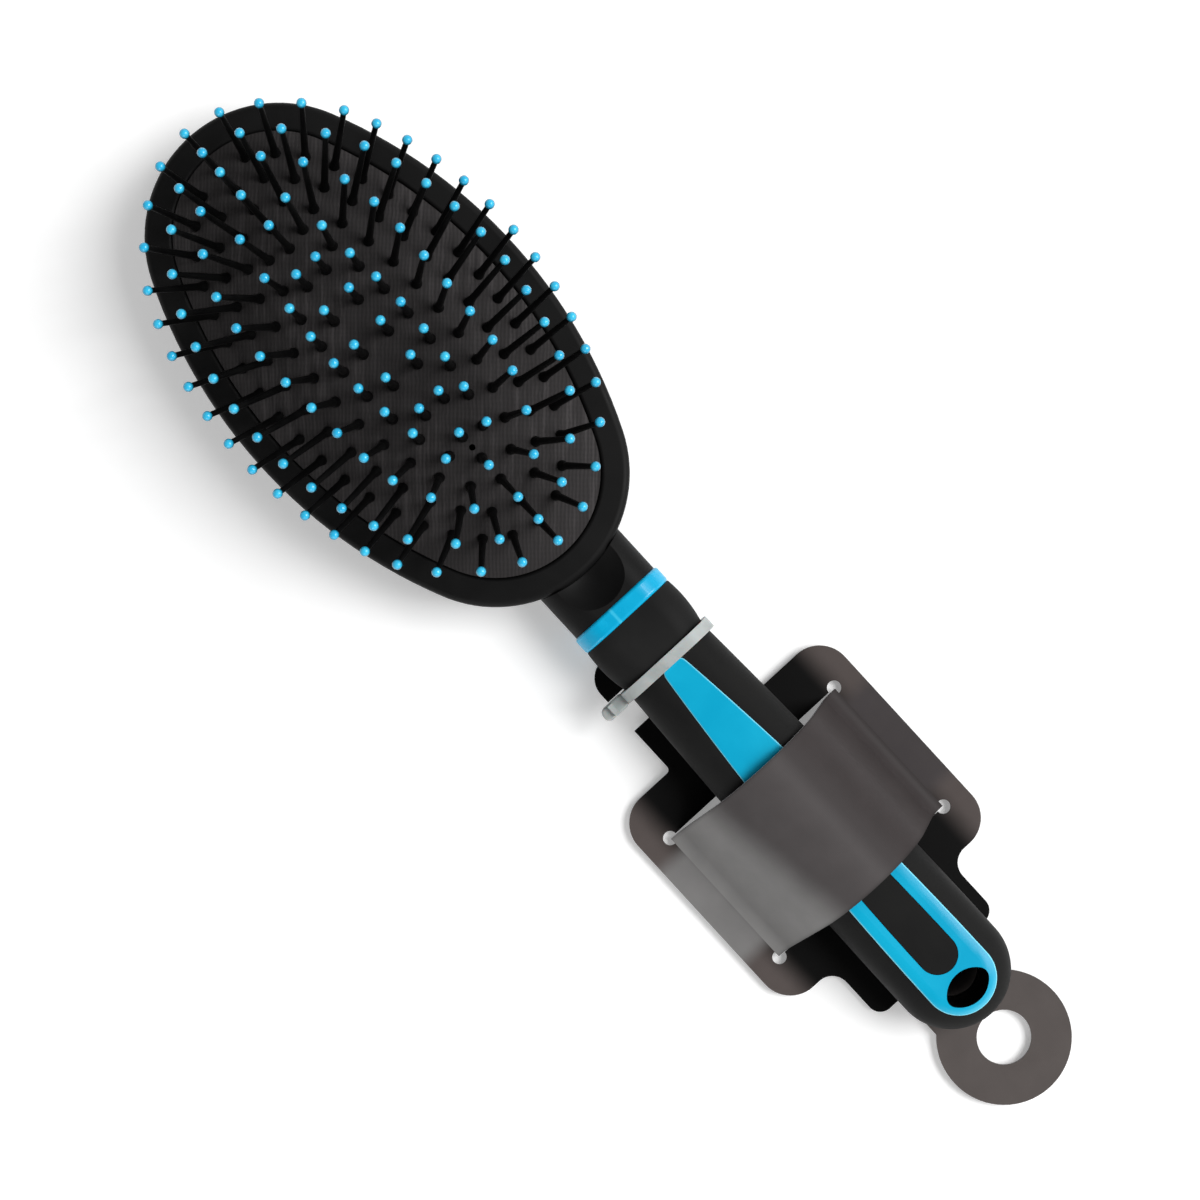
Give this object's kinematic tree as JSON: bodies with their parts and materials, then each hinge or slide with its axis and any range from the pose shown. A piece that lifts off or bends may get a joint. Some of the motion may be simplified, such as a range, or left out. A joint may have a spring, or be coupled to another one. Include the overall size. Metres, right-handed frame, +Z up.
{
  "type": "hair grooming brush",
  "caption": "Oval cushion hair brush: rows of ball-tipped pins in a domed rubber cushion that gives under load, on an inlaid two-tone handle with a hanging card tied on.",
  "frame": {"origin": "on the table under the middle of the brush, where the neck ring meets the collar", "axes": "+X along the brush from the handle to the head, +Y across it, +Z up out of the cushion along the pins"},
  "size_m": [0.2615, 0.0704, 0.0449],
  "materials": {
    "black_plastic": "satin",
    "cushion_rubber": "matte, finely hatched",
    "pin_plastic": "satin",
    "tip_blue": "gloss",
    "inlay_blue": "gloss",
    "grip_rubber": "matte",
    "card": "coated",
    "nylon": "satin"
  },
  "bodies": {
    "brush": {"head_shell": "black_plastic", "front_rim": "black_plastic", "cushion": "cushion_rubber", "neck_ring": "inlay_blue", "neck_collar": "black_plastic", "handle_core": "inlay_blue", "grip_sleeve": "grip_rubber", "grip_island": "grip_rubber", "hang_card": "card", "card_band": "card", "cable_tie": "nylon"},
    "ring_1": {"pins_ring_1": "pin_plastic", "pin_tips_ring_1": "tip_blue"},
    "ring_2": {"pins_ring_2": "pin_plastic", "pin_tips_ring_2": "tip_blue"},
    "ring_3": {"pins_ring_3": "pin_plastic", "pin_tips_ring_3": "tip_blue"},
    "ring_4": {"pins_ring_4": "pin_plastic", "pin_tips_ring_4": "tip_blue"},
    "ring_5": {"pins_ring_5": "pin_plastic", "pin_tips_ring_5": "tip_blue"}
  },
  "joints": [
    {"name": "press_1", "type": "slide", "parent": "brush", "child": "ring_1", "axis": [0, 0, -1], "range_m": [0, 0.00114]},
    {"name": "press_2", "type": "slide", "parent": "brush", "child": "ring_2", "axis": [0, 0, -1], "range_m": [0, 0.0022]},
    {"name": "press_3", "type": "slide", "parent": "brush", "child": "ring_3", "axis": [0, 0, -1], "range_m": [0, 0.00319]},
    {"name": "press_4", "type": "slide", "parent": "brush", "child": "ring_4", "axis": [0, 0, -1], "range_m": [0, 0.00361]},
    {"name": "press_5", "type": "slide", "parent": "brush", "child": "ring_5", "axis": [0, 0, -1], "range_m": [0, 0.0038], "stiffness_N_per_m": 600, "deforming": ["cushion"]}
  ],
  "couplings": [
    {"joint": "press_1", "follows": "press_5", "ratio": 0.3},
    {"joint": "press_2", "follows": "press_5", "ratio": 0.58},
    {"joint": "press_3", "follows": "press_5", "ratio": 0.84},
    {"joint": "press_4", "follows": "press_5", "ratio": 0.95}
  ]
}
